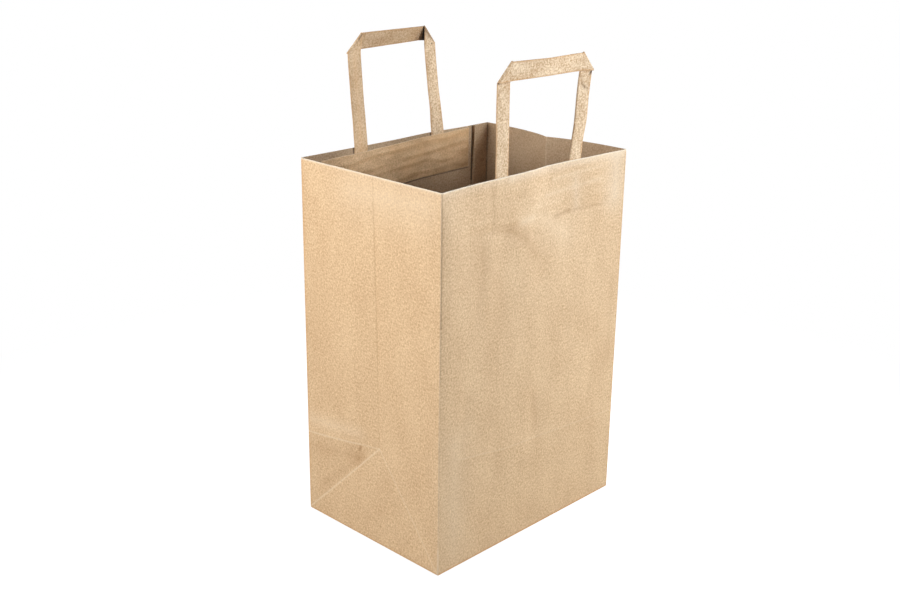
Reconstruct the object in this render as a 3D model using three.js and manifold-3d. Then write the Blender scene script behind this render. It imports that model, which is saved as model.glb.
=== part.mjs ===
// Paper carrier bag with flat paper handles. Millimetres, +Z up, origin in the middle of the underside.
// The front panel faces -Y. The bag stands open, as it does after it has been unfolded and set down.

import * as THREE from "three";
import { mergeVertices } from "three/addons/utils/BufferGeometryUtils.js";
import Module from "manifold-3d";

const wasm = await Module();
wasm.setup();

// The bag and its paper
const bagWidth = 250;
const bagDepth = 180;
const bagHeight = 357;
const paper = 0.16;
const glueLine = 0.3; // room between a glued piece and the paper that it is glued to

// The glued seam along the rear panel
const seamOverlap = 21; // width of the glue flap, inside the rear panel
const seamSetback = 2; // from the rear right edge to the raw edge that shows outside

// The folded bottom
const flapOverlap = 20; // how far the two long flaps lie over each other
const endFlapLength = 105;
const shortestFlapEdge = 40; // the slanted ends of a long flap leave at least this much free edge
const foldHeight = 96; // where each gusset's middle crease meets the diagonal creases

// The flat paper tape of the handles
const tapeWidth = 16;
const tapeThickness = 0.8;
const mitreGap = 0.4; // between the two layers at a mitre fold
const legPitch = 104;
const handleRise = 99; // from the mouth to the top of the grip strip
const legGlueLength = 40; // below the mouth
const legStraightening = 25; // above the mouth, where a leg leaves the curve of the panel

// The reinforcing patches over the ends of the legs
const patchWidth = 198;
const patchHeight = 41;
const patchDrop = 4.2; // from the mouth to the patch
const patchRamp = 4; // how far the paper takes to come down beside a leg
const legMargin = 2; // flat paper on each side of a leg, before the ramp

// How the standing bag is bowed and creased, inwards where positive
const bowPower = 2; // a bow is greatest at the mouth and dies away towards the bottom
const kinkReach = 34;
const frontSide = {
  name: "front",
  turn: 0,
  bow: 3.6,
  kink: 2.8,
  kinkX: 30,
  foldRidge: 0,
  handleShift: 4.5,
  handleLift: 0,
  gripSlope: THREE.MathUtils.degToRad(-0.6),
  legSplay: THREE.MathUtils.degToRad(2.6),
  lean: THREE.MathUtils.degToRad(2.6),
  curl: THREE.MathUtils.degToRad(4),
  patchTilt: 0,
};
const rearSide = {
  name: "rear",
  turn: Math.PI,
  bow: 0.6,
  kink: -3.6,
  kinkX: -42,
  foldRidge: 1.2,
  handleShift: 0,
  handleLift: 6,
  gripSlope: THREE.MathUtils.degToRad(-0.5),
  legSplay: THREE.MathUtils.degToRad(-1.3),
  lean: THREE.MathUtils.degToRad(7),
  curl: THREE.MathUtils.degToRad(17),
  patchTilt: THREE.MathUtils.degToRad(-1.5),
};
const leftGusset = { creaseY: -6.4, mouthDepth: 0, foldDepth: 6.5, sharpness: 1 };
const rightGusset = { creaseY: 0, mouthDepth: 12, foldDepth: 5, sharpness: 3 };

// How finely the paper is divided
const panelSteps = 16;
const upperSteps = 6;
const mitreSteps = 4;
const creaseShares = [0.25, 0.5, 0.75, 0.9, 1]; // of the way from a folded edge to a gusset's crease

const halfWidth = bagWidth / 2;
const halfDepth = bagDepth / 2;

// Builds a closed solid from equal loops of points. A ring of loops closes on itself, and an open
// row of loops gets a flat cap at each end. Each four-sided face is split so that it folds inwards.
function loft(loops, ring) {
  const count = loops[0].length;
  const positions = loops.flat().flatMap((point) => point.toArray());
  const indices = [];
  const at = ([loop, point]) => loops[loop][point];
  const fromAxis = (a, b) => Math.hypot(at(a).x + at(b).x, at(a).y + at(b).y);
  const spans = ring ? loops.length : loops.length - 1;
  for (let i = 0; i < spans; i++) {
    const next = (i + 1) % loops.length;
    for (let j = 0; j < count; j++) {
      const above = (j + 1) % count;
      const [a, b, c, d] = [[i, j], [next, j], [next, above], [i, above]];
      const foldsAlongAC = fromAxis(a, c) <= fromAxis(b, d);
      const split = foldsAlongAC ? [a, b, c, a, c, d] : [a, b, d, b, c, d];
      indices.push(...split.map(([loop, point]) => loop * count + point));
    }
  }
  if (!ring) {
    const last = (loops.length - 1) * count;
    for (let j = 1; j < count - 1; j++) {
      indices.push(0, j, j + 1);
      indices.push(last, last + j + 1, last + j);
    }
  }
  const geometry = new THREE.BufferGeometry();
  geometry.setAttribute("position", new THREE.Float32BufferAttribute(positions, 3));
  geometry.setIndex(indices);
  geometry.computeVertexNormals();
  return geometry;
}

function toSolid(geometry) {
  const bare = geometry.clone();
  bare.deleteAttribute("normal");
  bare.deleteAttribute("uv");
  const merged = mergeVertices(bare);
  const vertProperties = new Float32Array(merged.attributes.position.array);
  const triVerts = new Uint32Array(merged.index.array);
  return new wasm.Manifold(new wasm.Mesh({ numProp: 3, vertProperties, triVerts }));
}

function toGeometry(solid) {
  const mesh = solid.getMesh();
  const geometry = new THREE.BufferGeometry();
  geometry.setAttribute("position", new THREE.BufferAttribute(new Float32Array(mesh.vertProperties), 3));
  geometry.setIndex(new THREE.BufferAttribute(new Uint32Array(mesh.triVerts), 1));
  geometry.computeVertexNormals();
  return geometry;
}

function paperMesh(name, geometry, color) {
  const material = new THREE.MeshStandardMaterial({ color, roughness: 0.85, metalness: 0 });
  const mesh = new THREE.Mesh(geometry, material);
  mesh.name = name;
  return mesh;
}

// How far a panel is bowed inwards at x along it and z above the underside. Its folded edges stay put.
function inwardBow(side, x, z) {
  const across = 1 - (x / halfWidth) ** 2;
  const up = THREE.MathUtils.clamp(z / bagHeight, 0, 1) ** bowPower;
  const kink = side.kink * Math.exp(-(((x - side.kinkX) / kinkReach) ** 2));
  const ridge = side.foldRidge * Math.max(0, 1 - Math.abs(z / foldHeight - 1));
  return across * ((side.bow + kink) * up - ridge);
}

// How far a gusset is folded inwards. Below foldHeight its middle crease splits into two diagonals.
function inwardFold(gusset, y, z) {
  const edge = y > gusset.creaseY ? halfDepth : -halfDepth;
  const across = (edge - y) / (edge - gusset.creaseY);
  const up = Math.min(1, z / foldHeight);
  const share = Math.max(0, (z - foldHeight) / (bagHeight - foldHeight));
  const depth = THREE.MathUtils.lerp(gusset.foldDepth, gusset.mouthDepth, share);
  return depth * Math.min(across, up) ** gusset.sharpness;
}

// Moves a point of the plain box to where the standing bag has it.
function settle(x, y, z) {
  const sideways = x < 0 ? inwardFold(leftGusset, y, z) : -inwardFold(rightGusset, y, z);
  const inwards = y < 0 ? inwardBow(frontSide, x, z) : -inwardBow(rearSide, -x, z);
  return new THREE.Vector3(x + sideways, y + inwards, z);
}

// The plies of the walls, going round the bag from the front left edge. Each station has a point on
// the outer face and one on the inner face, and the seam's two raw edges are steps of one ply.
function wallStations() {
  const stations = [];
  const inner = halfWidth - paper;
  const flapEdge = halfWidth - seamOverlap;
  const rawEdge = halfWidth - seamSetback;
  const addPanel = (x, outerY, innerY) => {
    stations.push({ outer: [x, outerY], inner: [THREE.MathUtils.clamp(x, -inner, inner), innerY] });
  };
  const addGusset = (side, y) => stations.push({ outer: [side * halfWidth, y], inner: [side * inner, y] });
  const { lerp } = THREE.MathUtils;
  const gussetYs = (gusset, from) => {
    const inwards = creaseShares.map((share) => lerp(from, gusset.creaseY, share));
    const outwards = creaseShares.map((share) => lerp(-from, gusset.creaseY, share)).reverse();
    return [...inwards, ...outwards.slice(1)];
  };

  for (let i = 0; i <= panelSteps; i++) {
    addPanel(lerp(-halfWidth, halfWidth, i / panelSteps), -halfDepth, -halfDepth + paper);
  }
  gussetYs(rightGusset, -halfDepth).forEach((y) => addGusset(1, y));
  addPanel(halfWidth, halfDepth - paper, halfDepth - 2 * paper);
  addPanel(rawEdge + paper, halfDepth - paper, halfDepth - 2 * paper);
  addPanel(rawEdge, halfDepth, halfDepth - 2 * paper);
  addPanel(flapEdge, halfDepth, halfDepth - 2 * paper);
  for (let i = 0; i <= panelSteps; i++) {
    addPanel(lerp(flapEdge - paper, -halfWidth, i / panelSteps), halfDepth, halfDepth - paper);
  }
  gussetYs(leftGusset, halfDepth).forEach((y) => addGusset(-1, y));
  return stations;
}

function wallSolid() {
  const levels = [0, ...creaseShares.map((share) => share * foldHeight)];
  for (let i = 1; i <= upperSteps; i++) {
    levels.push(THREE.MathUtils.lerp(foldHeight, bagHeight, i / upperSteps));
  }
  const downwards = [...levels].reverse();
  const loops = wallStations().map(({ outer, inner }) => [
    ...levels.map((z) => settle(...outer, z)),
    ...downwards.map((z) => settle(...inner, z)),
  ]);
  return toSolid(loft(loops, true));
}

// One flap of the bottom, a single ply whose underside is so many plies above the ground.
function flapSolid(corners, pliesUp) {
  const outline = new THREE.Shape(corners.map(([x, y]) => new THREE.Vector2(x, y)));
  const geometry = new THREE.ExtrudeGeometry(outline, { depth: paper, bevelEnabled: false });
  geometry.translate(0, 0, pliesUp * paper);
  return toSolid(geometry);
}

// The block bottom: the two long flaps lie outermost, with 45 degree ends, and the two end flaps
// lie inside. The ears of the front flap fill the ply between it and the end flaps.
function bottomSolids() {
  const reach = halfDepth + flapOverlap / 2;
  const mitre = Math.min(reach, halfWidth - shortestFlapEdge / 2);
  const ear = Math.min(endFlapLength, mitre);
  const longFlap = (way) => [
    [-way * halfWidth, -way * halfDepth],
    [way * halfWidth, -way * halfDepth],
    [way * (halfWidth - mitre), way * (reach - halfDepth)],
    [way * (mitre - halfWidth), way * (reach - halfDepth)],
  ];
  const solids = [flapSolid(longFlap(1), 0), flapSolid(longFlap(-1), 1)];
  for (const end of [-1, 1]) {
    const outerX = end * halfWidth;
    const innerX = end * (halfWidth - endFlapLength);
    const earX = end * (halfWidth - ear);
    const earTip = ear - halfDepth;
    const corners = [[outerX, -halfDepth], [innerX, -halfDepth], [innerX, halfDepth], [outerX, halfDepth]];
    solids.push(flapSolid(corners, 2));
    solids.push(flapSolid([[outerX, -halfDepth], [earX, -halfDepth], [earX, earTip]], 1));
  }
  return solids;
}

function bagBody() {
  const solid = bottomSolids().reduce((sum, flap) => sum.add(flap), wallSolid());
  return paperMesh("bag_body", toGeometry(solid), "#dec29c");
}

// One loop of a ribbon: its two edges, thickened by half on each side along the ribbon's normal.
function ribbonLoop(edges, normal, thickness) {
  const half = normal.clone().multiplyScalar(thickness / 2);
  const [first, second] = edges;
  return [
    first.clone().add(half),
    second.clone().add(half),
    second.clone().sub(half),
    first.clone().sub(half),
  ];
}

// The left half of a handle, laid out flat: x along the panel, z up from the mouth and y into the
// bag. Loops run up the leg, then round the mitre fold to the layer of the grip strip outside it.
function handleHalf(side) {
  const splay = side.legSplay;
  const legFoot = new THREE.Vector3(-legPitch / 2, 0, 0);
  const along = new THREE.Vector3(-Math.sin(splay), 0, Math.cos(splay));
  const outwards = new THREE.Vector3(-Math.cos(splay), 0, -Math.sin(splay));
  const edgeAt = (reach, z) => {
    const start = legFoot.clone().addScaledVector(outwards, reach);
    return start.addScaledVector(along, (z - start.z) / along.z);
  };
  const intoBag = new THREE.Vector3(0, 1, 0);
  const stripTop = handleRise + side.handleLift;
  const stripBottom = stripTop - tapeWidth;
  const legHeights = [side.handleLift - legGlueLength, 0, legStraightening, stripBottom - mitreGap];
  const loops = legHeights.map((z) => {
    const edges = [edgeAt(tapeWidth / 2, z), edgeAt(-tapeWidth / 2, z)];
    return ribbonLoop(edges, intoBag, tapeThickness);
  });
  const fold = [edgeAt(tapeWidth / 2, stripBottom), edgeAt(-tapeWidth / 2, stripTop)];
  const foldAngle = Math.PI / 4 + splay / 2;
  const overFold = new THREE.Vector3(-Math.sin(foldAngle), 0, Math.cos(foldAngle));
  const radius = (tapeThickness + mitreGap) / 2;
  for (let i = 0; i <= mitreSteps; i++) {
    const turn = (Math.PI * i) / mitreSteps;
    const normal = intoBag.clone().multiplyScalar(Math.cos(turn)).addScaledVector(overFold, Math.sin(turn));
    const shift = normal.clone().sub(intoBag).multiplyScalar(radius);
    loops.push(ribbonLoop(fold.map((point) => point.clone().add(shift)), normal, tapeThickness));
  }
  return loops;
}

// Carries a flat handle's point to its place in the panel's frame: the legs follow the bowed panel
// below the mouth, lean outwards above it, and curl back along the grip strip.
function placeHandlePoint(side, point) {
  const x = point.x + side.handleShift;
  const offset = paper + glueLine + tapeThickness / 2 + point.y;
  if (point.z <= 0) {
    return new THREE.Vector3(x, offset + inwardBow(side, x, bagHeight + point.z), point.z);
  }
  const feet = [-1, 1].map((way) => inwardBow(side, side.handleShift + (way * legPitch) / 2, bagHeight));
  const chord = THREE.MathUtils.mapLinear(point.x, -legPitch / 2, legPitch / 2, ...feet);
  const freed = THREE.MathUtils.smoothstep(point.z, 0, legStraightening);
  const bend = handleRise + side.handleLift - tapeWidth;
  const slope = (point.x * Math.tan(side.gripSlope) * Math.min(point.z, bend)) / bend;
  const below = Math.min(point.z, bend);
  const above = Math.max(0, point.z - bend);
  const topAngle = side.curl - side.lean;
  const angle = above > 0 ? topAngle : -side.lean;
  const y = -below * Math.sin(side.lean) + above * Math.sin(topAngle) + offset * Math.cos(angle);
  const z = below * Math.cos(side.lean) + above * Math.cos(topAngle) - offset * Math.sin(angle) + slope;
  const bow = THREE.MathUtils.lerp(inwardBow(side, x, bagHeight), chord, freed);
  return new THREE.Vector3(x, y + bow, z);
}

function handle(side) {
  const left = handleHalf(side);
  const mirrored = (point) => new THREE.Vector3(-point.x, point.y, point.z);
  const right = left.map((loop) => loop.map(mirrored)).reverse();
  const loops = [...left, ...right].map((loop) => loop.map((point) => placeHandlePoint(side, point)));
  return paperMesh(`handle_${side.name}`, loft(loops, false), "#d9bd98");
}

// A patch lies on the panel and steps over the two legs that it holds.
function patch(side) {
  const low = paper + glueLine;
  const high = low + tapeThickness + glueLine;
  const drift = legGlueLength * Math.abs(Math.tan(side.legSplay));
  const flatReach = tapeWidth / 2 + drift + legMargin;
  const rampReach = flatReach + patchRamp;
  const legXs = [-1, 1].map((way) => side.handleShift + (way * legPitch) / 2);
  const reaches = [-rampReach, -flatReach, flatReach, rampReach];
  const stations = legXs.flatMap((legX) => reaches.map((reach) => legX + reach));
  for (let i = 0; i <= panelSteps; i++) {
    stations.push(THREE.MathUtils.lerp(-patchWidth / 2, patchWidth / 2, i / panelSteps));
  }
  const xs = [...new Set(stations)].filter((x) => Math.abs(x) <= patchWidth / 2).sort((a, b) => a - b);
  const standOff = (x) => {
    const distance = Math.min(...legXs.map((legX) => Math.abs(x - legX)));
    const down = THREE.MathUtils.clamp((distance - flatReach) / patchRamp, 0, 1);
    return THREE.MathUtils.lerp(high, low, down);
  };
  const intoBag = new THREE.Vector3(0, 1, 0);
  const loops = xs.map((x) => {
    const top = x * Math.tan(side.patchTilt) - patchDrop;
    const edges = [top, top - patchHeight].map((z) => {
      const y = standOff(x) + paper / 2 + inwardBow(side, x, bagHeight + z);
      return new THREE.Vector3(x, y, z);
    });
    return ribbonLoop(edges, intoBag, paper);
  });
  return paperMesh(`patch_${side.name}`, loft(loops, false), "#d3b48c");
}

const bag = new THREE.Group();
bag.add(bagBody());
for (const side of [frontSide, rearSide]) {
  const panel = new THREE.Group();
  panel.add(handle(side), patch(side));
  panel.position.set(0, -halfDepth * Math.cos(side.turn), bagHeight);
  panel.rotation.z = side.turn;
  bag.add(panel);
}

export default bag;
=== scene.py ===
import bpy
import numpy as np
from mathutils import Matrix, Vector


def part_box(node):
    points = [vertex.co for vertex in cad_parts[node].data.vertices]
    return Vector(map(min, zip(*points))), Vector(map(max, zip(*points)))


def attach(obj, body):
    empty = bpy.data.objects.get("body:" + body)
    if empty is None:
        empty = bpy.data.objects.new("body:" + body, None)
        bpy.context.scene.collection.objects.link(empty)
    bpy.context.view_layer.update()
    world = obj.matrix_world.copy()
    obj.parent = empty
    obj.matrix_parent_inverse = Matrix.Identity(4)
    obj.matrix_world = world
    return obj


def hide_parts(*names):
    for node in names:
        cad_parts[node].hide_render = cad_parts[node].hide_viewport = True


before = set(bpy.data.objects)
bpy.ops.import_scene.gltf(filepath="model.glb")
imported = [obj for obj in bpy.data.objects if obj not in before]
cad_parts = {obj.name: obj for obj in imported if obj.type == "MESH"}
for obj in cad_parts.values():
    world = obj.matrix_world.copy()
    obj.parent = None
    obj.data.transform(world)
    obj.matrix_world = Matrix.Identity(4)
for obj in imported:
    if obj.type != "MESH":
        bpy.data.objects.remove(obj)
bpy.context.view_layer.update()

scene = bpy.context.scene
scene.view_settings.view_transform = "Standard"

# The camera
# It stands ahead of the near left edge and a little above the mouth, at the photograph's angle.
# Its turn, height, tilt and lens were worked out from the bag's straight edges.
camera_turn = np.radians(-45.9142)
camera_height = np.radians(19.1967)
camera_tilt = np.radians(0.7536)
camera_place = (-0.81499, -0.76942, 0.60268)
camera_data = bpy.data.cameras.new("camera")
camera_data.sensor_width = 36
camera_data.lens = 49.08
camera = bpy.data.objects.new("camera", camera_data)
scene.collection.objects.link(camera)
scene.camera = camera
camera.matrix_world = (
    Matrix.Translation(camera_place)
    @ Matrix.Rotation(camera_turn, 4, "Z")
    @ Matrix.Rotation(np.pi / 2 - camera_height, 4, "X")
    @ Matrix.Rotation(camera_tilt, 4, "Z")
)

# The bag's sheet
# One sheet of brown kraft paper is folded to a tube with four upright edges and two gussets. A glue
# flap joins it inside the rear panel, and its lower end is folded in and glued to make the bottom.
# All sizes are in millimetres, and a mesh turns them into metres.
MM = 0.001
body_low, body_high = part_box("bag_body")
half_width = body_high.x / MM
half_depth = -body_low.y / MM
bag_height = body_high.z / MM
paper = 0.16
ply = 0.18  # from one glued ply to the next
edge_radius = 0.9  # of the four upright folded edges
lip_radius = 0.7  # of the fold round the bottom
seam_overlap = 23
seam_setback = 2
seam_play = 0.06  # between the glue flap and the rear panel
flap_overlap = 20
end_flap_length = 105
apex_height = 96  # where a gusset's middle crease meets its diagonal creases
rear_fold_height = 85  # where the flat bottom was folded up over the rear panel
left_crease = -6.4
right_crease = 0
foot_reach = 12  # the height over which the folds and waves die away towards the bottom
crease_steps = 32
grid_step = 3.2
edge_stations, lip_stations, flap_rows, wall_rows = 6, 5, 14, 84
mouth_rows = (1, 0.9965, 0.993, 0.987)  # shares of the way up from the fold, closer at the cut edge

wall_x = half_width - paper / 2
wall_y = half_depth - paper / 2
flat_x = wall_x - edge_radius
flat_y = wall_y - edge_radius
seam_y = wall_y - ply - seam_play
raw_edge = half_width - seam_setback
flap_edge = half_width - seam_overlap


def smooth(value, start, stop):
    """Goes from 0 at start to 1 at stop, along a curve that is level at both ends."""
    share = np.clip((value - start) / (stop - start), 0, 1)
    return share * share * (3 - 2 * share)


def tent(value, start, top, stop):
    """Rises in a straight line from 0 at start to 1 at top, and falls to 0 again at stop."""
    return np.clip(np.minimum((value - start) / (top - start), (stop - value) / (stop - top)), 0, 1)


def ridge(a, b, start, end, spread):
    """A soft ridge along the line from start to end: 1 on the line, and falling with a bell curve of
    the distance from the line."""
    along = np.subtract(end, start)
    share = np.clip(((a - start[0]) * along[0] + (b - start[1]) * along[1]) / (along @ along), 0, 1)
    distance = np.hypot(a - start[0] - share * along[0], b - start[1] - share * along[1])
    return np.exp(-((distance / spread) ** 2))


def cockle(a, b, seed, length, depth):
    """The slow waves of paper that has taken up damp: a sum of plane waves of about the same length,
    whose directions and phases come from a seeded generator."""
    waves = 9
    draw = np.random.default_rng(seed)
    total = 0
    for _ in range(waves):
        turn, phase = draw.uniform(0, 2 * np.pi, 2)
        rate = 2 * np.pi / (length * draw.uniform(0.7, 1.5))
        total = total + np.sin(rate * (a * np.cos(turn) + b * np.sin(turn)) + phase)
    return depth * total / np.sqrt(waves)


# Soft folds in the front panel: where each starts and ends, how wide it spreads, how far it goes in
front_folds = (
    ((-72, 303), (-78, 235), 8, 0.35),
    ((-61, 304), (-66, 232), 8, -0.4),
    ((-46, 304), (-46, 240), 11, 0.4),
    ((-16, 296), (-14, 242), 13, -0.55),
    ((6, 292), (8, 246), 11, 0.4),
    ((-90, 165), (-96, 118), 7, 0.7),
    ((0, 140), (4, 104), 8, 0.6),
    ((-102, 109), (-40, 99), 4, -0.4),
    ((-40, 99), (121, 88), 4, -0.4),
    ((-118, 8), (-75, 62), 9, -0.7),
    ((22, 352), (24, 314), 6, 0.25),
    ((-60, 352), (-60, 318), 3.5, 0.2),
    ((64, 352), (63, 318), 3.5, 0.15),
    ((-94, 312), (-60, 311), 5, 0.7),
    ((-60, 311), (-4, 298), 5, 0.7),
    ((24, 311), (94, 312), 5, 0.7),
    ((94, 312), (120, 302), 5, 0.6),
)


def front_inward(x, z):
    """How far the front panel goes in: a bow that is steep beside the folded edges and greatest at the
    mouth, a step in the mouth's edge right of the middle, the soft folds, the cockle and the wrinkles of
    the glue behind the patch. Beside the near edge the paper bulges outwards, because that edge isn't
    pressed sharp."""
    bow_depth, step_depth, bulge_depth, bulge_reach = 3.4, 2.9, 1.6, 14
    hold = 1 - (x / flat_x) ** 4
    bow = bow_depth * smooth(z, 120, bag_height)
    step = step_depth * smooth(x, -12, 18) * (1 - 0.85 * smooth(x, 24, 90)) * smooth(z, 280, bag_height)
    folds = sum(depth * ridge(x, z, start, end, spread) for start, end, spread, depth in front_folds)
    from_edge = (x + flat_x) / bulge_reach
    round_edge = bulge_depth * from_edge * np.exp(1 - from_edge)
    round_edge = round_edge * smooth(z, 60, 290) * smooth(bag_height + 12 - z, 0, 40)
    waves = cockle(x, z, 3, 70, 0.25) + cockle(x, z, 4, 24, 0.05)
    glued = cockle(x / 6, z, 12, 9, 0.16) * smooth(z, 308, 318) * smooth(bag_height - z, 0, 8)
    return hold * (bow + step + folds + waves + glued) - round_edge


def rear_inward(x, z):
    """How far the rear panel goes in: it bulges outwards right of the middle at the mouth, and it has
    a sharp outward crease where the flat bottom was folded up over it."""
    bow_depth, bulge_depth, bulge_middle, bulge_reach, crease_depth = 0.6, 3.6, 42, 34, 1.4
    hold = 1 - (x / flat_x) ** 2
    bulge = bow_depth - bulge_depth * np.exp(-(((x - bulge_middle) / bulge_reach) ** 2))
    bulge = bulge * np.clip(z / bag_height, 0, 1) ** 2
    crease = crease_depth * tent(z, 0, rear_fold_height, 2.4 * rear_fold_height)
    return hold * (bulge - crease + cockle(x, z, 5, 75, 0.2) + cockle(x, z, 6, 26, 0.04))


def gusset_fold(across, up, z, fold_z, at_fold, at_mouth, power):
    """How far a gusset is folded in: across goes from 0 at its edges to 1 at its middle crease, and
    below the fold the height up takes over, which makes the two diagonal creases."""
    share = np.clip((z - fold_z) / (bag_height - fold_z), 0, 1)
    return (at_fold + (at_mouth - at_fold) * share) * np.minimum(across, up) ** power


def left_inward(y, z, across, up, fold_z):
    """How far the left gusset goes in: its fold, a small groove along the middle crease, an outward
    crease on its rear half with a dent at its end, and the cockle."""
    fold_depth, mouth_depth, groove_depth, crease_depth = 6.5, 0, 0.5, 4.5
    hold = np.sqrt(across)
    groove = groove_depth * np.exp(-np.abs(y - left_crease) / 7) * smooth(z, 90, 220)
    crease = crease_depth * hold * (1 - across) * tent(z, fold_z - 22, fold_z, fold_z + 34)
    dent = 0.8 * ridge(y, z, (17, 90), (23, 71), 5) + 0.9 * ridge(y, z, (72, 26), (16, 82), 8)
    return (
        gusset_fold(across, up, z, fold_z, fold_depth, mouth_depth, 1)
        + groove
        - np.where(y > left_crease, crease, 0)
        + hold * (dent + cockle(y, z, 7, 60, 0.14) + cockle(y, z, 8, 25, 0.035))
    )


def right_inward(y, z, across, up, fold_z):
    """How far the right gusset goes in: it is pinched along its middle crease, most at the mouth, and its
    rear half has an outward crease like the left gusset's."""
    fold_depth, mouth_depth, crease_depth = 5, 12, 4
    hold = np.sqrt(across)
    crease = crease_depth * hold * (1 - across) * tent(z, fold_z - 26, fold_z, fold_z + 34)
    return (
        gusset_fold(across, up, z, fold_z, fold_depth, mouth_depth, 3)
        - np.where(y > right_crease, crease, 0)
        + hold * (cockle(y, z, 9, 60, 0.2) + cockle(y, z, 10, 25, 0.04))
    )


def flap_inward(x, z):
    """The glue flap follows the rear panel, and its free edge has come loose just below the mouth."""
    lift_height = 3
    lift = lift_height * smooth(x, flap_edge + 17, flap_edge) * smooth(z, bag_height - 70, bag_height)
    return rear_inward(x, z) + lift


def steps(start, stop):
    """Evenly spaced stations about one grid step apart."""
    return np.linspace(start, stop, int(abs(stop - start) / grid_step) + 2)


def crease_stations(start, crease, stop):
    """Stations across a gusset, with as many steps before its crease as after it."""
    first = np.linspace(start, crease, crease_steps + 1)
    return np.concatenate([first, np.linspace(crease, stop, crease_steps + 1)[1:]])


def folded_edge(centre, first_angle):
    """The stations round one upright edge: a quarter turn clockwise, with its ends left out."""
    angle = np.radians(first_angle - np.linspace(0, 90, edge_stations)[1:-1])
    outwards = np.stack([np.cos(angle), np.sin(angle)])
    return np.add(centre, edge_radius * outwards.T).T, -outwards


def straight(x, y, inwards):
    """A run along one panel: its points, and the same inward direction at each of them."""
    points = np.stack(np.broadcast_arrays(np.asarray(x, float), np.asarray(y, float)))
    return points, np.repeat(np.array(inwards, float)[:, None], points.shape[1], axis=1)


# The runs of the sheet, going round clockwise from the glue flap's free edge to the raw edge outside
flap_x = steps(flap_edge, flat_x)
right_y = crease_stations(seam_y - edge_radius, right_crease, -flat_y)
front_x = steps(flat_x, -flat_x)
left_y = crease_stations(-flat_y, left_crease, flat_y)
rear_x = steps(-flat_x, raw_edge)
runs = (
    straight(flap_x, seam_y, (0, -1)), folded_edge((flat_x, seam_y - edge_radius), 90),
    straight(wall_x, right_y, (-1, 0)), folded_edge((flat_x, -flat_y), 0),
    straight(front_x, -wall_y, (0, 1)), folded_edge((-flat_x, -flat_y), -90),
    straight(-wall_x, left_y, (1, 0)), folded_edge((-flat_x, flat_y), 180),
    straight(rear_x, wall_y, (0, -1)),
)
places = np.concatenate([points for points, _ in runs], axis=1)
inwards = np.concatenate([directions for _, directions in runs], axis=1)
ends = np.cumsum([0] + [points.shape[1] for points, _ in runs])
panel_runs = [slice(ends[i], ends[i + 1]) for i in range(0, len(runs), 2)]
flap_run, right_run, front_run, left_run, rear_run = panel_runs
columns = ends[-1]

# For each column: where it is on the flat sheet, how far across its gusset, where its fold is, and
# at which level its bottom flap lies
rear_left, front_left = -2 * half_depth, 0
front_right, rear_right = 2 * half_width, 2 * half_width + 2 * half_depth
sheet_u = np.zeros(columns)
sheet_u[right_run] = front_right + half_depth + right_y
sheet_u[front_run] = half_width + front_x
sheet_u[left_run] = -half_depth - left_y
sheet_u[rear_run] = rear_left - half_width - rear_x
sheet_u[flap_run] = rear_right + half_width - flap_x
for before, after in zip(panel_runs, panel_runs[1:]):
    between = slice(before.stop, after.start)
    first, last = sheet_u[before.stop - 1], sheet_u[after.start]
    sheet_u[between] = np.linspace(first, last, between.stop - between.start + 2)[1:-1]

across = np.zeros(columns)
half_steps = np.linspace(0, 1, crease_steps + 1)
across[left_run] = across[right_run] = np.concatenate([half_steps, half_steps[-2::-1]])
edge_fold = np.where(places[1] > 0, rear_fold_height, apex_height).astype(float)
edge_fold[left_run] = np.where(left_y > left_crease, rear_fold_height, apex_height)
edge_fold[right_run] = np.where(right_y > right_crease, rear_fold_height, apex_height)
edge_fold[front_run] = apex_height
flap_level = np.full(columns, paper / 2 + 2 * ply)
flap_level[front_run] = paper / 2
flap_level[rear_run] = paper / 2 + ply
fold_z = edge_fold + (apex_height - edge_fold) * across

# The wall's rows go from the mouth down to the fold and on to the bottom, so that every crease lies
# along the edges of the mesh
upper_rows = np.concatenate([mouth_rows, np.linspace(0.978, 0, wall_rows)])[:, None]
lower_rows = half_steps[-2::-1][:, None]
upper_z = fold_z + (bag_height - fold_z) * upper_rows
lower_z = edge_fold * lower_rows + (apex_height - edge_fold) * np.minimum(across, lower_rows)
lower_z = lower_z + (flap_level + lip_radius) * (1 - lower_rows)
wall_z = np.concatenate([upper_z, lower_z])
wall_up = np.concatenate([np.ones_like(upper_rows), lower_rows])

inward = np.zeros_like(wall_z)
inward[:, flap_run] = flap_inward(flap_x, wall_z[:, flap_run])
inward[:, front_run] = front_inward(front_x, wall_z[:, front_run])
inward[:, rear_run] = rear_inward(rear_x, wall_z[:, rear_run])
for run, y, shape in ((left_run, left_y, left_inward), (right_run, right_y, right_inward)):
    inward[:, run] = shape(y, wall_z[:, run], across[run], wall_up, fold_z[run])
inward = inward * smooth(wall_z, 0, foot_reach)


def stacked(*parts):
    """Places from their coordinates, each spread over the same grid."""
    return np.stack(np.broadcast_arrays(*parts), axis=-1)


# The lip turns a quarter round below each column
lip_angle = np.radians(np.linspace(0, 90, lip_stations)[1:])[:, None]
sheet_z = np.concatenate([wall_z, flap_level + lip_radius * (1 - np.sin(lip_angle))])
lip_inward = lip_radius * (1 - np.cos(lip_angle)) * np.ones(columns)
inward = np.concatenate([inward, lip_inward])
wall_points = stacked(places[0] + inwards[0] * inward, places[1] + inwards[1] * inward, sheet_z)
wall_sheet = stacked(sheet_u, sheet_z, 0.0)
turned_in = np.concatenate([np.zeros((len(wall_z), 1)), lip_angle])
wall_outer = stacked(
    -inwards[0] * np.cos(turned_in), -inwards[1] * np.cos(turned_in), -np.sin(turned_in),
)
lip_end = wall_points.shape[0] - 1


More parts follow.
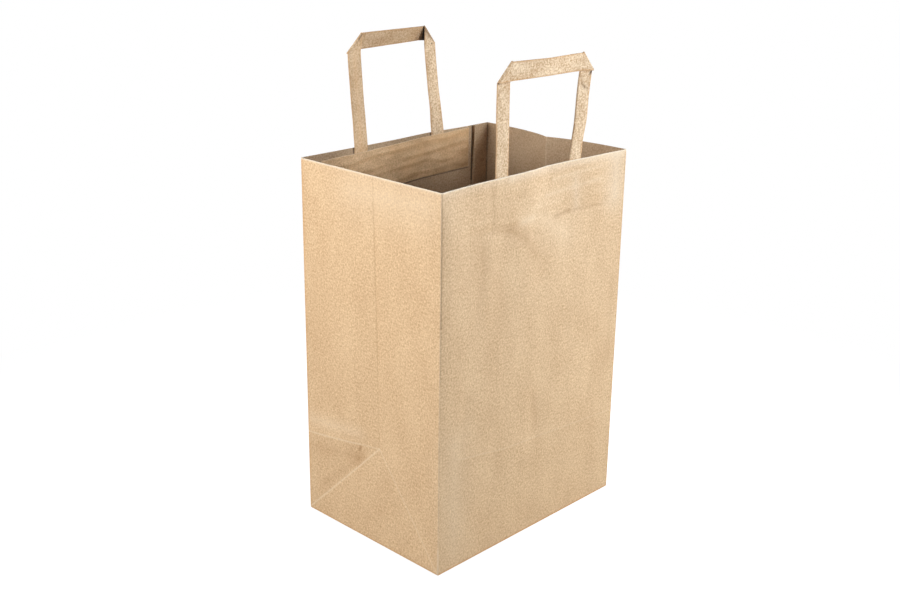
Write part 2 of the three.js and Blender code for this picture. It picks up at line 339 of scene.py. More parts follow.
def triangles(index, turned=False):
    """Two triangles for each cell of a grid of point numbers, split along one diagonal or the other."""
    a, b, c, d = index[:-1, :-1], index[:-1, 1:], index[1:, 1:], index[1:, :-1]
    plain = stacked(a, b, c, a, c, d)
    other = stacked(b, c, d, b, d, a)
    return np.where(np.broadcast_to(turned, a.shape)[..., None], other, plain).reshape(-1, 3)


def numbered(points):
    """The numbers of a grid of points, row by row."""
    return np.arange(points[..., 0].size).reshape(points.shape[:2])


def flap_points(run, reach, long_flap):
    """A flap of the bottom, from its fold inwards: a long flap narrows at 45 degrees on both ends, and
    an end flap keeps its width."""
    distance = np.linspace(0, reach, flap_rows)[1:, None]
    start = wall_points[lip_end, run]
    x = start[:, 0] * (1 - distance / flat_x) if long_flap else start[:, 0] + inwards[0, run] * distance
    y = start[:, 1] + inwards[1, run] * distance
    return stacked(x, y, start[:, 2]), stacked(sheet_u[run], -distance, 0.0)


long_reach = half_depth + flap_overlap / 2 - lip_radius
end_reach = end_flap_length - lip_radius
turned = np.zeros(columns - 1, bool)
turned[left_run.start:left_run.start + crease_steps] = True
turned[right_run.start:right_run.start + crease_steps] = True
wall_index = numbered(wall_points)
bag_parts = [(wall_points, wall_sheet, wall_outer)]
bag_faces = [triangles(wall_index, turned)]
count = wall_index.size
for run, reach, long_flap in (
    (front_run, long_reach, True), (rear_run, long_reach, True),
    (left_run, end_reach, False), (right_run, end_reach, False),
):
    points, sheet = flap_points(run, reach, long_flap)
    index = count + numbered(points)
    bag_faces.append(triangles(np.concatenate([wall_index[lip_end:, run], index])))
    bag_parts.append((points, sheet, np.broadcast_to((0, 0, -1), points.shape)))
    count += index.size
bag_points, bag_sheet, bag_outer = (
    np.concatenate([part.reshape(-1, 3) for part in parts]) for parts in zip(*bag_parts)
)


def paper_piece(name, points, sheet, faces, crease_angle):
    """A piece of paper from its points, faces and places on the flat sheet, with sharp creases."""
    mesh = bpy.data.meshes.new(name)
    mesh.from_pydata((points.reshape(-1, 3) * MM).tolist(), [], faces.tolist())
    place = mesh.attributes.new("sheet", "FLOAT_VECTOR", "POINT")
    place.data.foreach_set("vector", np.ascontiguousarray(sheet, np.float32).ravel())
    mesh.polygons.foreach_set("use_smooth", np.ones(len(faces), bool))
    mesh.set_sharp_from_angle(angle=np.radians(crease_angle))
    piece = bpy.data.objects.new(name, mesh)
    scene.collection.objects.link(piece)
    return piece


def thicken(piece):
    """Gives a sheet the paper's thickness, half on each side."""
    thickness = piece.modifiers.new("paper_thickness", "SOLIDIFY")
    thickness.thickness = paper * MM
    thickness.offset = 0


bag = paper_piece("kraft_bag", bag_points, bag_sheet, np.concatenate(bag_faces), crease_angle=5)
outer_side = bag.data.attributes.new("outer", "FLOAT_VECTOR", "POINT")
outer_side.data.foreach_set("vector", bag_outer.astype(np.float32).ravel())
thicken(bag)


def srgb(red, green, blue):
    """A screen colour of 0 to 255 as the linear colour that a shader takes."""
    share = np.array([red, green, blue]) / 255
    linear = np.where(share <= 0.04045, share / 12.92, ((share + 0.055) / 1.055) ** 2.4)
    return (*linear.tolist(), 1.0)


def new_group(name, inputs, outputs):
    """An empty shader node group with named sockets, given as pairs of name and kind."""
    group = bpy.data.node_groups.new(name, "ShaderNodeTree")
    for side, sockets in (("INPUT", inputs), ("OUTPUT", outputs)):
        for socket, kind in sockets:
            group.interface.new_socket(socket, in_out=side, socket_type=f"NodeSocket{kind}")
    return group, group.nodes.new("NodeGroupInput"), group.nodes.new("NodeGroupOutput")


def feed(tree, socket, term):
    """Links another node's output to a socket, or sets the socket to a number, a vector or a colour."""
    if isinstance(term, bpy.types.NodeSocket):
        tree.links.new(term, socket)
    else:
        socket.default_value = term


def math_node(tree, operation, *terms, kind="Math"):
    """One sum on values, where each term is a number or another node's output."""
    node = tree.nodes.new(f"ShaderNode{kind}")
    node.operation = operation
    for socket, term in zip(node.inputs, terms):
        feed(tree, socket, term)
    return node.outputs[0]


def vector_node(tree, operation, *terms):
    """One sum on vectors, where each term is a vector or another node's output."""
    return math_node(tree, operation, *terms, kind="VectorMath").node


def noise_node(tree, place, rate, detail):
    """Noise on a place given in millimetres, at a rate that is a number or another node's output."""
    node = tree.nodes.new("ShaderNodeTexNoise")
    feed(tree, node.inputs["Scale"], rate)
    node.inputs["Detail"].default_value = detail
    node.inputs["Roughness"].default_value = 0.6
    tree.links.new(place, node.inputs["Vector"])
    return node.outputs["Fac"]


def mixed(tree, factor, first, second):
    """A mix of two colours, where each is a colour or another node's output."""
    node = tree.nodes.new("ShaderNodeMix")
    node.data_type = "RGBA"
    colour_sockets = 6, 7
    for socket, term in zip((0, *colour_sockets), (factor, first, second)):
        feed(tree, node.inputs[socket], term)
    return node.outputs[2]


# Kraft fibres: fine specks, short fibres along the sheet and slow clouds between two paper colours
fibres, fibres_in, fibres_out = new_group(
    "kraft_fibres",
    (
        ("Place", "Vector"), ("Dark fibre", "Color"), ("Pale fibre", "Color"),
        ("Specks", "Float"), ("Clouds", "Float"), ("Cloud rate", "Float"),
    ),
    (("Colour", "Color"), ("Height", "Float")),
)
on_sheet = fibres_in.outputs["Place"]
specks = noise_node(fibres, on_sheet, rate=0.55, detail=3)
along_sheet = vector_node(fibres, "MULTIPLY", on_sheet, (1.6, 0.3, 1)).outputs[0]
strands = noise_node(fibres, along_sheet, rate=0.8, detail=2)
slow_place = vector_node(fibres, "MULTIPLY", on_sheet, (1, 0.5, 1)).outputs[0]
clouds = noise_node(fibres, slow_place, rate=fibres_in.outputs["Cloud rate"], detail=3)
cloud_share = math_node(
    fibres, "MULTIPLY", math_node(fibres, "SUBTRACT", clouds, 0.5), fibres_in.outputs["Clouds"],
)
speck_weight = 2.1  # of the specks beside the strands
fine_share = math_node(
    fibres, "MULTIPLY_ADD", math_node(fibres, "SUBTRACT", specks, 0.5), speck_weight,
    math_node(fibres, "SUBTRACT", strands, 0.5),
)
strand_share = math_node(fibres, "MULTIPLY_ADD", fine_share, fibres_in.outputs["Specks"], 0.5)
fibre_share = math_node(fibres, "ADD", strand_share, cloud_share)
fibre_colour = mixed(
    fibres, fibre_share, fibres_in.outputs["Dark fibre"], fibres_in.outputs["Pale fibre"],
)
fibres.links.new(fibre_colour, fibres_out.inputs["Colour"])
fibres.links.new(strand_share, fibres_out.inputs["Height"])

# A line mark: a thin line on the flat sheet, from one place to another, that fades at its sides. It lays
# worn creases and cut edges, and also painted shade, painted shadows and painted highlights.
crease, crease_in, crease_out = new_group(
    "crease_line",
    (("Place", "Vector"), ("Start", "Vector"), ("End", "Vector"), ("Width", "Float")),
    (("Mask", "Float"),),
)
crease_start = crease_in.outputs["Start"]
crease_run = vector_node(crease, "SUBTRACT", crease_in.outputs["End"], crease_start).outputs[0]
from_start = vector_node(crease, "SUBTRACT", crease_in.outputs["Place"], crease_start).outputs[0]
reached = math_node(
    crease, "DIVIDE",
    vector_node(crease, "DOT_PRODUCT", from_start, crease_run).outputs["Value"],
    vector_node(crease, "DOT_PRODUCT", crease_run, crease_run).outputs["Value"],
)
reached = math_node(crease, "MINIMUM", math_node(crease, "MAXIMUM", reached, 0.0), 1.0)
nearest = vector_node(crease, "SCALE", crease_run)
crease.links.new(reached, nearest.inputs["Scale"])
aside = vector_node(crease, "DISTANCE", from_start, nearest.outputs[0]).outputs["Value"]
fade = math_node(crease, "SUBTRACT", 1.0, math_node(crease, "DIVIDE", aside, crease_in.outputs["Width"]))
fade = math_node(crease, "MAXIMUM", fade, 0.0)
crease.links.new(math_node(crease, "MULTIPLY", fade, fade), crease_out.inputs["Mask"])


def paper_material(name, dark_fibre, pale_fibre, speck_strength, cloud_strength, cloud_rate):
    """A paper with a faint sheen: the fibres give its colour and a fine bump."""
    material = bpy.data.materials.new(name)
    material.use_nodes = True
    tree = material.node_tree
    shader = tree.nodes["Principled BSDF"]
    shader.inputs["Specular IOR Level"].default_value = 0.6
    place = tree.nodes.new("ShaderNodeAttribute")
    place.attribute_name = "sheet"
    paper_fibres = tree.nodes.new("ShaderNodeGroup")
    paper_fibres.node_tree = fibres
    for socket, value in (
        ("Dark fibre", srgb(*dark_fibre)), ("Pale fibre", srgb(*pale_fibre)),
        ("Specks", speck_strength), ("Clouds", cloud_strength), ("Cloud rate", cloud_rate),
    ):
        paper_fibres.inputs[socket].default_value = value
    tree.links.new(place.outputs["Vector"], paper_fibres.inputs["Place"])
    bump = tree.nodes.new("ShaderNodeBump")
    bump.inputs["Strength"].default_value = 0.35
    bump.inputs["Distance"].default_value = 0.00025
    tree.links.new(paper_fibres.outputs["Height"], bump.inputs["Height"])
    tree.links.new(bump.outputs["Normal"], shader.inputs["Normal"])
    return material, tree, place.outputs["Vector"], paper_fibres.outputs["Colour"]


def paint(tree, colour):
    """Gives a material its finished colour. Its roughness falls as the colour gets lighter, so that pale
    fibres have a sheen and the painted shadows in gaps have none."""
    shader = tree.nodes["Principled BSDF"]
    lightness = tree.nodes.new("ShaderNodeRGBToBW")
    tree.links.new(colour, lightness.inputs["Color"])
    tree.links.new(colour, shader.inputs["Base Color"])
    roughness = math_node(tree, "MULTIPLY_ADD", lightness.outputs["Val"], -0.7, 1.0)
    tree.links.new(roughness, shader.inputs["Roughness"])


# Marks on the sheet's outer side, as places along it and up it: start, end, width, colour, strength. They
# are pale worn creases, partly painted highlight on their ridges, painted shade in creases and dents and
# beside the near edge, painted shade where the patch and the legs press through, painted highlights and
# painted shade over soft areas of the panels, painted shade along the bottom and two upright edges, and
# pale cut edges with a painted highlight along the mouth.
left_apex = (-half_depth - left_crease, apex_height)
right_apex = (front_right + half_depth + right_crease, apex_height)
sheet_start, sheet_end = rear_left - 2 * half_width, rear_right + seam_overlap
# Pale worn creases and cut edges, partly painted highlight where their ridges catch light, and painted
# highlights over soft pale areas of the panels
pale_wear_and_highlight = srgb(250, 228, 194)
# Pale cut edges at the mouth with a painted highlight along them, and painted highlights on the upper front
# panel
cut_edge_and_highlight = srgb(255, 242, 218)
# Painted shade in creases, dents, folds and wrinkles, and over soft dark areas of the panels, the tapes and
# the patches
shade = srgb(176, 132, 88)
# Painted shade along the bottom fold, two upright folded edges and the tapes' rounded edges
amber_edge_shade = srgb(202, 145, 83)
# A warm painted highlight on one leg of the rear handle and over the patches
warm_highlight = srgb(255, 206, 146)
# Deep painted shade beside the near edge, at the tapes' folds and wrinkles, on the rear grip strip and at a
# patch corner
deep_shade = srgb(120, 84, 52)
# Painted shadow in gaps and corners: beside the glue flap, left of the rear legs, under the patch and at
# the tapes' edges
gap_shadow = srgb(48, 34, 22)
# Near-black painted shadow under the glue flap's loose edge and inside and beside the tapes' mitre folds
black_shadow = srgb(16, 12, 8)
outer_marks = (
    (left_apex, (left_apex[0], bag_height), 1.8, shade, 0.2),
    ((left_apex[0], 170), (left_apex[0], bag_height), 1.5, shade, 0.25),
    ((-174, 70), (-108, 80), 16, shade, 0.16),
    ((-160, 32), (-108, 79), 10, shade, 0.22),
    ((-174, 100), (-110, 104), 16, pale_wear_and_highlight, 0.25),
    ((-108, 91), (-110, 86), 3, shade, 0.8),
    ((-113, 74), (-112, 78), 5, shade, 0.3),
    ((-110, 338), (-20, 342), 55, pale_wear_and_highlight, 0.3),
    ((-165, 265), (-168, 160), 32, shade, 0.1),
    ((1.0, 240), (1.0, 356), 1.6, deep_shade, 0.6),
    ((1.0, 190), (1.0, 240), 1.4, deep_shade, 0.3),
    ((50, 312), (89, 308), 9, shade, 0.17),
    ((89, 308), (110, 297), 12, shade, 0.31),
    ((110, 297), (124, 278), 13, shade, 0.27),
    ((153, 309), (172, 310.5), 4, shade, 0.5),
    ((172, 310.5), (220, 309), 4, shade, 0.36),
    ((66, 350), (68, 320), 7, shade, 0.25),
    ((54, 300), (55, 276), 6, shade, 0.1),
    ((76, 271), (80, 245), 7, shade, 0.1),
    ((48, 300), (84, 236), 42, shade, 0.16),
    ((20, 328), (20, 290), 14, shade, 0.12),
    ((35, 165), (29, 118), 9, shade, 0.12),
    ((125, 140), (129, 104), 9, shade, 0.12),
    ((50, 262), (47, 222), 22, shade, 0.12),
    ((240, 230), (238, 150), 16, shade, 0.2),
    ((20, 125), (20, 15), 40, pale_wear_and_highlight, 0.2),
    ((23, 109), (85, 99), 1.5, pale_wear_and_highlight, 0.2),
    ((85, 99), (246, 88), 1.5, pale_wear_and_highlight, 0.2),
    ((105, 312), (120, 313), 8, pale_wear_and_highlight, 0.3),
    ((128, 316), (168, 288), 36, pale_wear_and_highlight, 0.14),
    ((140, 330), (215, 334), 6, pale_wear_and_highlight, 0.2),
    ((150, 343), (215, 346), 5, pale_wear_and_highlight, 0.2),
    ((5, 354), (90, 354), 8, cut_edge_and_highlight, 0.12),
    ((90, 354), (245, 354), 9, cut_edge_and_highlight, 0.24),
    ((237, 352), (237, 314), 30, cut_edge_and_highlight, 0.28),
    ((180, 338), (182, 314), 14, cut_edge_and_highlight, 0.16),
    ((130, 318), (158, 305), 7, shade, 0.14),
    ((sheet_start, 0), (sheet_end, 0), 4.0, amber_edge_shade, 1.0),
    ((rear_left, 0), (rear_left, bag_height), 4.5, amber_edge_shade, 0.85),
    ((front_right, 0), (front_right, bag_height), 3.0, amber_edge_shade, 0.8),
    ((rear_left, 1), left_apex, 1.9, pale_wear_and_highlight, 0.5),
    ((rear_left, rear_fold_height), (-109, 93), 1.8, pale_wear_and_highlight, 0.5),
    ((-109, 93), left_apex, 2.0, pale_wear_and_highlight, 0.25),
    ((front_left, 1), left_apex, 1.8, pale_wear_and_highlight, 0.35),
    ((rear_right, 1), right_apex, 2.2, pale_wear_and_highlight, 0.5),
    ((rear_right, rear_fold_height), right_apex, 2.0, pale_wear_and_highlight, 0.5),
    ((front_right, 1), right_apex, 1.8, pale_wear_and_highlight, 0.25),
    (right_apex, (right_apex[0], bag_height), 1.8, pale_wear_and_highlight, 0.3),
    ((rear_left, rear_fold_height), (sheet_start, rear_fold_height), 2.0, pale_wear_and_highlight, 0.5),
    ((front_left, 0), (front_left, bag_height), 1.2, pale_wear_and_highlight, 0.35),
    ((front_left, 0), (front_left, 26), 2.2, pale_wear_and_highlight, 0.6),
    ((rear_right, 0), (rear_right, bag_height), 1.6, pale_wear_and_highlight, 0.3),
    ((sheet_start, bag_height), (sheet_end, bag_height), 2.6, cut_edge_and_highlight, 1.0),
)

# Marks on the sheet's inner side: painted shadows in the gaps beside the loose edge of the glue flap, in
# the corner beside it, to the left of the rear handle's two legs and under the patch, and the right
# gusset's pale worn crease and a painted highlight over its rear half
flap_shadow = rear_left - half_width - flap_edge + 0.5
inner_marks = (
    ((flap_shadow, 300), (flap_shadow, bag_height), 2.4, black_shadow, 1.0),
    ((flap_shadow, 200), (flap_shadow, 300), 1.8, gap_shadow, 0.6),
    ((rear_right, 140), (rear_right, 315), 2.4, gap_shadow, 0.6),
    ((rear_right, 315), (rear_right, bag_height), 1.8, gap_shadow, 0.65),
    ((-243.5, 352), (-243.5, bag_height), 1.8, gap_shadow, 0.9),
    ((-348.5, 352), (-348.5, bag_height), 1.8, gap_shadow, 0.9),
    ((-401, 313.7), (-204, 308.5), 1.7, gap_shadow, 0.8),
    ((right_apex[0], 290), (right_apex[0], bag_height), 1.8, pale_wear_and_highlight, 0.25),
    ((355, 345), (400, 325), 45, pale_wear_and_highlight, 0.16),
)


def marked(tree, place, colour, marks):
    """A colour with marks laid over it one after another, each by the crease group. A mark lies at level
    0 of the sheet, or at the level that it ends with."""
    for start, end, width, mark_colour, strength, *level in marks:
        line = tree.nodes.new("ShaderNodeGroup")
        line.node_tree = crease
        line.inputs["Start"].default_value = (*start, *(level or [0]))
        line.inputs["End"].default_value = (*end, *(level or [0]))
        line.inputs["Width"].default_value = width
        tree.links.new(place, line.inputs["Place"])
        mask = math_node(tree, "MULTIPLY", line.outputs["Mask"], strength)
        colour = mixed(tree, mask, colour, mark_colour)
    return colour


bag_paper, tree, place, fibre_colours = paper_material(
    "kraft_sheet", dark_fibre=(195, 155, 111), pale_fibre=(246, 214, 169),
    speck_strength=0.97, cloud_strength=0.6, cloud_rate=0.035,
)
outer_way = tree.nodes.new("ShaderNodeAttribute")
outer_way.attribute_name = "outer"
surface = tree.nodes.new("ShaderNodeNewGeometry")
facing_out = vector_node(tree, "DOT_PRODUCT", surface.outputs["True Normal"], outer_way.outputs["Vector"])
is_outer = math_node(tree, "GREATER_THAN", facing_out.outputs["Value"], -0.5)
# The inner side is a darker, cooler copy of the same paper fibres: painted shade for the inside of the bag
inner_shade_tint = (0.72, 0.73, 0.79)
shaded_inner_fibres = vector_node(tree, "MULTIPLY", fibre_colours, inner_shade_tint).outputs[0]
inner_colour = marked(tree, place, shaded_inner_fibres, inner_marks)
colour = mixed(tree, is_outer, inner_colour, marked(tree, place, fibre_colours, outer_marks))
paint(tree, colour)
bag.data.materials.append(bag_paper)
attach(bag, "root")
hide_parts("bag_body")

# The handle tapes
# Each handle is one flat tape of folded kraft paper. It is turned over at 45 degrees at both top
# corners, so that its grip strip lies outside its two legs, and its ends are glued inside the panel.
glue_line = 0.3
tape_width = 16.4
tape_thickness = 0.8
mitre_gap = 0.4
fold_pivot = 0.6  # from a mitre fold's inner end to the start of the straight strip
handle_rise = 98.3
leg_glue_length = 40
leg_straightening = 25
leg_stations, fan_stations, turn_stations, strip_stations, path_steps = 80, 10, 9, 30, 600
fold_reach = 0.4  # the share of the tape's width over which the strip leaves its fold
face_level = 20  # the level on the flat sheet of the tape's two faces, above and below its middle
# For each side, seen from outside: where the legs stand, the curl of the grip strip at its left, middle
# and right, and small wrinkles as start, end, spread and depth. For the left and right mitre folds: the
# strip's swing, the loose loop, how far the fold's inner end is moved along the strip (skews) and its
# outer end down the leg (drops), and the turn of the leg about its own length (twists).
panels = {
    "front": dict(
        way=-1, inward=front_inward, pitch=101.3, shift=2.85, lift=0, slope=-0.6, splay=3.5, lean=2.6,
        curls=(1, -9, -3), openings=(2, 3), loops=(0.5, 0.6), skews=(2, 0), drops=(0, 0), twists=(0, -6),
        patch_tilt=0, patch_shift=0, seed=21, sheet_start=0,
        wrinkles=(
            ((50, 77), (52.5, 69), 1.6, 0.5), ((52.5, 69), (60, 67.5), 1.6, 0.5),
            ((-60, 76), (-52, 70), 2.0, 0.3), ((61, 58), (60, 46), 2.0, 0.3),
        ),
    ),
    "rear": dict(
        way=1, inward=rear_inward, pitch=105, shift=0.3, lift=6.5, slope=0.35, splay=-1.3, lean=7,
        curls=(9, 12, 15), openings=(26, 9), loops=(0.8, 0.15), skews=(0, 0), drops=(0, 2.1), twists=(5, 0),
        patch_tilt=-1.5, patch_shift=2.5, seed=31, sheet_start=1000,
        wrinkles=(((-20, 95), (-8, 108), 4, 0.3),),
    ),
}


def on_panel(panel, x, depth, z):
    """Carries a place on a panel, seen from outside the bag, into the frame: x to the right along it,
    depth from its outer face into the bag, and z up."""
    way = panel["way"]
    return stacked(-way * x, way * (half_depth - depth), z)


def panel_inward(panel, x, z):
    """How far a panel goes in, at x along it as seen from outside the bag."""
    return panel["inward"](-panel["way"] * x, z)


def half_tape(panel, opening, loop, skew, drop):
    """One half of a handle laid flat, as the left half: places on the two edges of the tape and the
    direction of its face, at stations up the leg, round the mitre fold and along the grip strip to its
    middle. Past the fold the strip is swung about its top edge, by an angle that goes evenly from this
    end's opening to the mean of both openings in the middle. The fold is a round loop, which is looser
    at its outer end. A skew moves its inner end along the strip, and a drop its outer end down the leg."""
    splay = np.radians(panel["splay"])
    strip_top = handle_rise + panel["lift"]
    strip_bottom = strip_top - tape_width
    leg_foot = -panel["pitch"] / 2

    def leg_edge(reach, z):
        """A place on a line beside the leg's middle, at a height: the splayed leg is a slanted line."""
        start_x = leg_foot - reach * np.cos(splay)
        start_z = -reach * np.sin(splay)
        return stacked(start_x - (z - start_z) * np.tan(splay), z)

    leg_z = np.linspace(panel["lift"] - leg_glue_length, strip_bottom - mitre_gap, leg_stations)
    outer = leg_edge(tape_width / 2, leg_z - drop * np.linspace(0, 1, leg_stations))
    inner = leg_edge(-tape_width / 2, leg_z)
    fan = np.linspace(0, 1, fan_stations)[1:-1, None]
    turn = np.linspace(0, np.pi, turn_stations)
    fold_angle = np.arctan2(tape_width + drop, tape_width) + splay / 2
    over = np.array([-np.sin(fold_angle), np.cos(fold_angle)])
    fold_outer = leg_edge(tape_width / 2, np.array(strip_bottom - drop)) - 2 * loop * over
    fold_inner = leg_edge(-tape_width / 2, np.array(strip_top)) + [skew, 0]
    radius = (tape_thickness + mitre_gap) / 2
    strip_start = fold_inner[0] + fold_pivot
    run = np.linspace(strip_start, 0, strip_stations)
    leg_sides, strip_sides = [], []
    for edge, fold, edge_z in ((outer, fold_outer, strip_bottom), (inner, fold_inner, strip_top)):
        leg_sides.append(np.concatenate([edge, edge[-1] + (fold - edge[-1]) * fan]))
        to_strip = fold + (np.array([strip_start, edge_z]) - fold) * fan
        strip_sides.append(np.concatenate([to_strip, stacked(run, edge_z)]))
    leaving = fold_reach * tape_width * np.sin(fold_angle)
    past_fold = smooth((fold_outer - strip_sides[0]) @ over, 0, leaving)
    to_fold = np.clip(strip_sides[0][:, 0] / fold_inner[0], 0, 1)
    mean_opening = np.mean(panel["openings"])
    swung = np.radians(mean_opening + (opening - mean_opening) * to_fold) * past_fold
    below_top = strip_top - strip_sides[0][:, 1]
    strip_depths = (
        -2 * (radius + loop * (1 - past_fold)) - below_top * np.sin(swung),
        np.full_like(swung, -2 * radius),
    )
    strip_heights = strip_top - below_top * np.cos(swung), strip_sides[1][:, 1]
    sides = []
    for leg, fold, strip, depth, height, turn_radius in zip(
        leg_sides, (fold_outer, fold_inner), strip_sides, strip_depths, strip_heights,
        (radius + loop, radius),
    ):
        turn_x, turn_z = (fold + turn_radius * np.sin(turn)[:, None] * over).T
        turn_depth = turn_radius * (np.cos(turn) - 1)
        sides.append(stacked(
            np.concatenate([leg[:, 0], turn_x, strip[:, 0]]),
            np.concatenate([np.zeros(len(leg)), turn_depth, depth]),
            np.concatenate([leg[:, 1], turn_z, height]),
        ))
    leg_face = np.repeat([[0.0, 1.0, 0.0]], len(leg_sides[0]), axis=0)
    turn_face = stacked(np.sin(turn) * over[0], np.cos(turn), np.sin(turn) * over[1])
    strip_face = stacked(0.0, -np.cos(swung), np.sin(swung))
    return sides[0], sides[1], np.concatenate([leg_face, turn_face, strip_face])


def tape_section():
    """The tape's section: a flat ring with round folded edges, as shares across and thicknesses."""
    across_tape = np.linspace(-1, 1, 9)[1:-1]
    bend = np.radians(np.linspace(90, -90, 5))
    half = tape_thickness / 2
    inset = 1 - 2 * half / tape_width
    right_end = np.stack([inset + half * np.cos(bend) * 2 / tape_width, half * np.sin(bend)])
    top = np.stack([across_tape * inset, np.full_like(across_tape, half)])
    return np.concatenate([top, right_end, top * [[-1], [-1]], -right_end], axis=1)


def curled_path(lean, curl, bend, z):
    """A leg's path above the mouth, summed in small steps: it leans outwards, and the part above the
    bend curls back. Gives the angle, the depth and the height at each length z of tape."""
    length = np.linspace(0, handle_rise + 20, path_steps)
    angle = np.radians(-lean + curl * smooth(length, bend - 4, bend + 3))
    depth, height = (np.append(0, np.cumsum(part(angle[:-1]) * length[1])) for part in (np.sin, np.cos))
    return np.stack([np.interp(z, length, values) for values in (angle, depth, height)])


def placed_tape(panel, x, depth, z):
    """Carries the flat handle to its place: below the mouth it follows the bowed panel, above it the
    legs straighten, lean outwards and twist, and the grip strip curls back over a short bend."""
    bend = handle_rise + panel["lift"] - tape_width
    above = np.maximum(z, 0)
    along = np.clip(2 * x / panel["pitch"], -1, 1)
    shares = np.maximum(-along, 0), 1 - np.abs(along), np.maximum(along, 0)
    angle, path_depth, path_height = sum(
        share * curled_path(panel["lean"], curl, bend, above) for share, curl in zip(shares, panel["curls"])
    )
    angle = angle * smooth(z, 0, 6)
    offset = paper + glue_line + tape_thickness / 2 + depth
    slope = x * np.tan(np.radians(panel["slope"])) * np.minimum(above, bend) / bend
    at_x = x + panel["shift"]
    feet = [panel_inward(panel, panel["shift"] + side * panel["pitch"] / 2, bag_height) for side in (-1, 1)]
    chord = feet[0] + (feet[1] - feet[0]) * (x / panel["pitch"] + 0.5)
    at_mouth = panel_inward(panel, at_x, np.minimum(bag_height + z, bag_height))
    bow = at_mouth + (chord - at_mouth) * smooth(z, 0, leg_straightening)
    waves = 0.5 * cockle(z, x * 0.2, panel["seed"], 55, 1) * smooth(z, 4, 40)
    for start, end, spread, deep in panel["wrinkles"]:
        waves = waves + deep * ridge(x, z, start, end, spread)
    twisted = sum(
        share * np.tan(np.radians(twist)) * np.clip(x - side * panel["pitch"] / 2, -tape_width, tape_width)
        for share, twist, side in zip(shares[::2], panel["twists"], (-1, 1))
    )
    at_depth = path_depth + offset * np.cos(angle) + bow + waves + twisted * smooth(z, 5, 45)
    height = path_height - offset * np.sin(angle) + slope + np.minimum(z, 0)
    return on_panel(panel, at_x, at_depth, bag_height + height)


def handle_tape(name, panel):
    """The tape's section carried along the whole handle, with a flat cap on each end."""
    mirror = np.array([-1, 1, 1])
    folds = zip(panel["openings"], panel["loops"], panel["skews"], panel["drops"])
    halves = [half_tape(panel, *fold) for fold in folds]
    first, second, facing = (
        np.concatenate([left_line, right_line[-2::-1] * mirror]) for left_line, right_line in zip(*halves)
    )
    share, thick = tape_section()
    middle, half = (first + second) / 2, (first - second) / 2
    flat = middle[:, None] + half[:, None] * share[:, None] + facing[:, None] * thick[:, None]
    points = placed_tape(panel, flat[..., 0], flat[..., 1], flat[..., 2])
    length = np.append(0, np.cumsum(np.linalg.norm(np.diff(middle, axis=0), axis=1)))
    length = panel["sheet_start"] + length
    across_mm = share * tape_width / 2
    panel["leg_tops"] = length[leg_stations - 1], length[-leg_stations]
    level = thick * 2 * face_level / tape_thickness
    sheet = stacked(across_mm, length[:, None], level)
    index = numbered(points)
    ring = np.concatenate([index, index[:, :1]], axis=1)
    fan = index[0, 1:-1]
    start_cap = stacked(0, fan + 1, fan)
    end_cap = stacked(0, fan, fan + 1) + index[-1, 0]
    faces = np.concatenate([triangles(ring), start_cap, end_cap])
    return paper_piece(name, points, sheet, faces, crease_angle=35)


handles = {name: handle_tape(f"handle_tape_{name}", panel) for name, panel in panels.items()}

# Marks on the tape, as places across it and along it: start, end, width, colour, strength and level. They
# are mostly painted shade and painted shadows, with a few painted highlights. A leg's outer face and the
# strip's inner face are the lower one, and the rounded edges lie at level 0.
low_face, rounded, high_face = -face_level, 0, face_level
front_left_top, front_right_top = panels["front"]["leg_tops"]
rear_left_top, rear_right_top = panels["rear"]["leg_tops"]
tape_edge = tape_width / 2
tape_end = 1500  # past the end of both tapes
# Painted shade along both rounded edges of the tape and beside them on both faces
tape_marks = [
    ((side * tape_edge, 0), (side * tape_edge, tape_end), width, amber_edge_shade, 0.9, level)
    for side in (-1, 1) for level, width in ((low_face, 2.4), (rounded, 24), (high_face, 2.4))
]
# Painted shade over the inner face of the rear handle's grip strip
rear_strip_shade = (0, rear_left_top + 28), (0, rear_right_top - 28), 34
tape_marks += [(*rear_strip_shade, shade, 0.3, low_face), (*rear_strip_shade, deep_shade, 0.16, low_face)]
